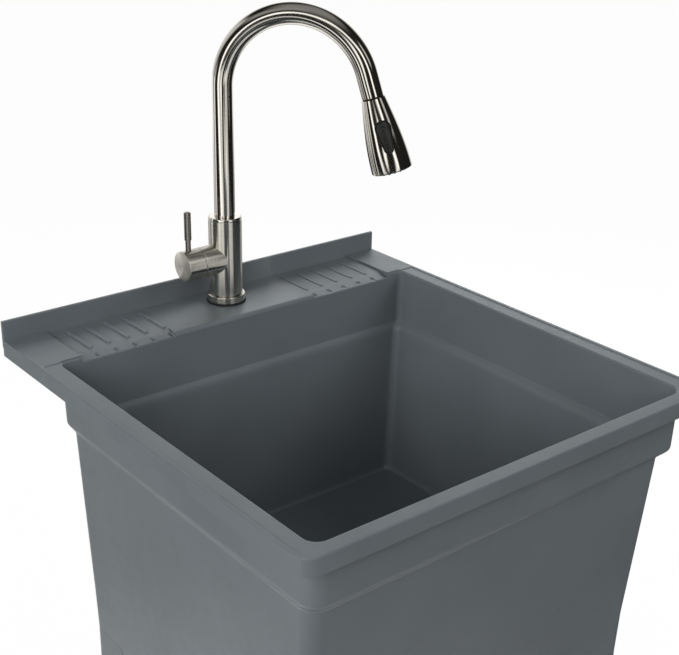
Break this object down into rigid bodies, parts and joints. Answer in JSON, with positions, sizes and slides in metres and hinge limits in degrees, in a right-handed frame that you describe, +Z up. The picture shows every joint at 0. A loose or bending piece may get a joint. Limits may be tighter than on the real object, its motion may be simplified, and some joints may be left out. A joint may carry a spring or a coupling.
{
  "type": "utility laundry sink",
  "caption": "Free-standing moulded laundry sink with a deep basin, rear deck, low backsplash, levelling legs, basket strainer and a single-handle tap with a pull-out spray.",
  "frame": {"origin": "on the floor, under the centre of the rim's footprint", "axes": "+X to the right and +Z up as a person in front of the sink sees it; the front faces -Y and the backsplash +Y"},
  "size_m": [0.61, 0.634, 1.2674],
  "materials": {
    "tub_plastic": "moulded, satin",
    "nickel": "brushed nickel",
    "steel": "polished stainless",
    "brass": "plain",
    "black_plastic": "matte",
    "white_plastic": "plain",
    "black_rubber": "plain",
    "hose_braid": "woven nylon sleeve",
    "fibre": "pressed fibre"
  },
  "bodies": {
    "sink": {"tub": "tub_plastic", "tap_body": "nickel", "base_ring": "nickel", "base_gasket": "black_rubber", "tap_shank": "brass", "mounting_rubber": "black_rubber", "mounting_washer": "steel", "mounting_nut": "brass", "hot_inlet": "brass", "cold_inlet": "brass", "hose_connector": "brass", "spout_bushing": "white_plastic", "cartridge_body": "white_plastic", "cartridge_nut": "brass", "strainer_body": "steel", "strainer_gasket": "black_rubber", "friction_washer": "fibre", "strainer_locknut": "steel", "tailpiece_washer": "white_plastic", "tailpiece": "steel", "slip_nut": "white_plastic", "leg_front_left": "tub_plastic", "leg_insert_front_left": "brass", "leg_front_right": "tub_plastic", "leg_insert_front_right": "brass", "leg_rear_right": "tub_plastic", "leg_insert_rear_right": "brass", "leg_rear_left": "tub_plastic", "leg_insert_rear_left": "brass"},
    "foot_front_left": {"foot_front_left": "black_plastic"},
    "foot_front_right": {"foot_front_right": "black_plastic"},
    "foot_rear_right": {"foot_rear_right": "black_plastic"},
    "foot_rear_left": {"foot_rear_left": "black_plastic"},
    "basket": {"strainer_basket": "steel", "basket_seal": "black_rubber"},
    "spout": {"spout_tube": "nickel", "spout_collar": "nickel", "spout_spigot": "brass", "spout_o_ring_lower": "black_rubber", "spout_o_ring_upper": "black_rubber", "spout_guide": "black_plastic", "pullout_hose": "hose_braid"},
    "hose_end": {"hose_nut": "brass"},
    "spray_head": {"head_shell": "nickel", "button_bezel": "black_plastic", "spray_core": "white_plastic", "spray_face": "black_plastic"},
    "spray_button": {"spray_button": "black_plastic"},
    "handle_carrier": {"cartridge_carrier": "white_plastic", "carrier_pin": "steel"},
    "handle": {"handle_stem": "steel", "handle_cap": "nickel", "handle_lever": "nickel", "cap_screw": "steel"}
  },
  "joints": [
    {"name": "foot_screw_front_left", "type": "slide", "parent": "sink", "child": "foot_front_left", "axis": [0, 0, -1], "range_m": [0, 0.02]},
    {"name": "foot_screw_front_right", "type": "slide", "parent": "sink", "child": "foot_front_right", "axis": [0, 0, -1], "range_m": [0, 0.02]},
    {"name": "foot_screw_rear_right", "type": "slide", "parent": "sink", "child": "foot_rear_right", "axis": [0, 0, -1], "range_m": [0, 0.02]},
    {"name": "foot_screw_rear_left", "type": "slide", "parent": "sink", "child": "foot_rear_left", "axis": [0, 0, -1], "range_m": [0, 0.02]},
    {"name": "basket_lift", "type": "slide", "parent": "sink", "child": "basket", "axis": [0, 0, 1], "range_m": [0, 0.08]},
    {"name": "spout_swivel", "type": "hinge", "parent": "sink", "child": "spout", "pos_m": [0.007, 0.272, 0.976], "axis": [0, 0, 1], "range_deg": [-217, 143]},
    {"name": "spray_pull", "type": "slide", "parent": "spout", "child": "hose_end", "axis": [0.176, -0.2335, -0.9563], "range_m": [0, 0.3]},
    {"name": "spray_twist", "type": "hinge", "parent": "hose_end", "child": "spray_head", "pos_m": [0.12973, 0.10913, 1.14418], "axis": [0.176, -0.2335, -0.9563], "range_deg": [-180, 180]},
    {"name": "spray_button_rock", "type": "hinge", "parent": "spray_head", "child": "spray_button", "pos_m": [0.12734, 0.0855, 1.10946], "axis": [0.8328, -0.4827, 0.2711], "range_deg": [-4, 4], "stiffness_Nm_per_rad": 0.02},
    {"name": "handle_turn", "type": "hinge", "parent": "sink", "child": "handle_carrier", "pos_m": [-0.0182, 0.272, 0.9207], "axis": [1, 0, 0], "range_deg": [-45, 45]},
    {"name": "handle_tilt", "type": "hinge", "parent": "handle_carrier", "child": "handle", "pos_m": [-0.0182, 0.272, 0.9207], "axis": [0, -1, 0], "range_deg": [0, 20]}
  ]
}
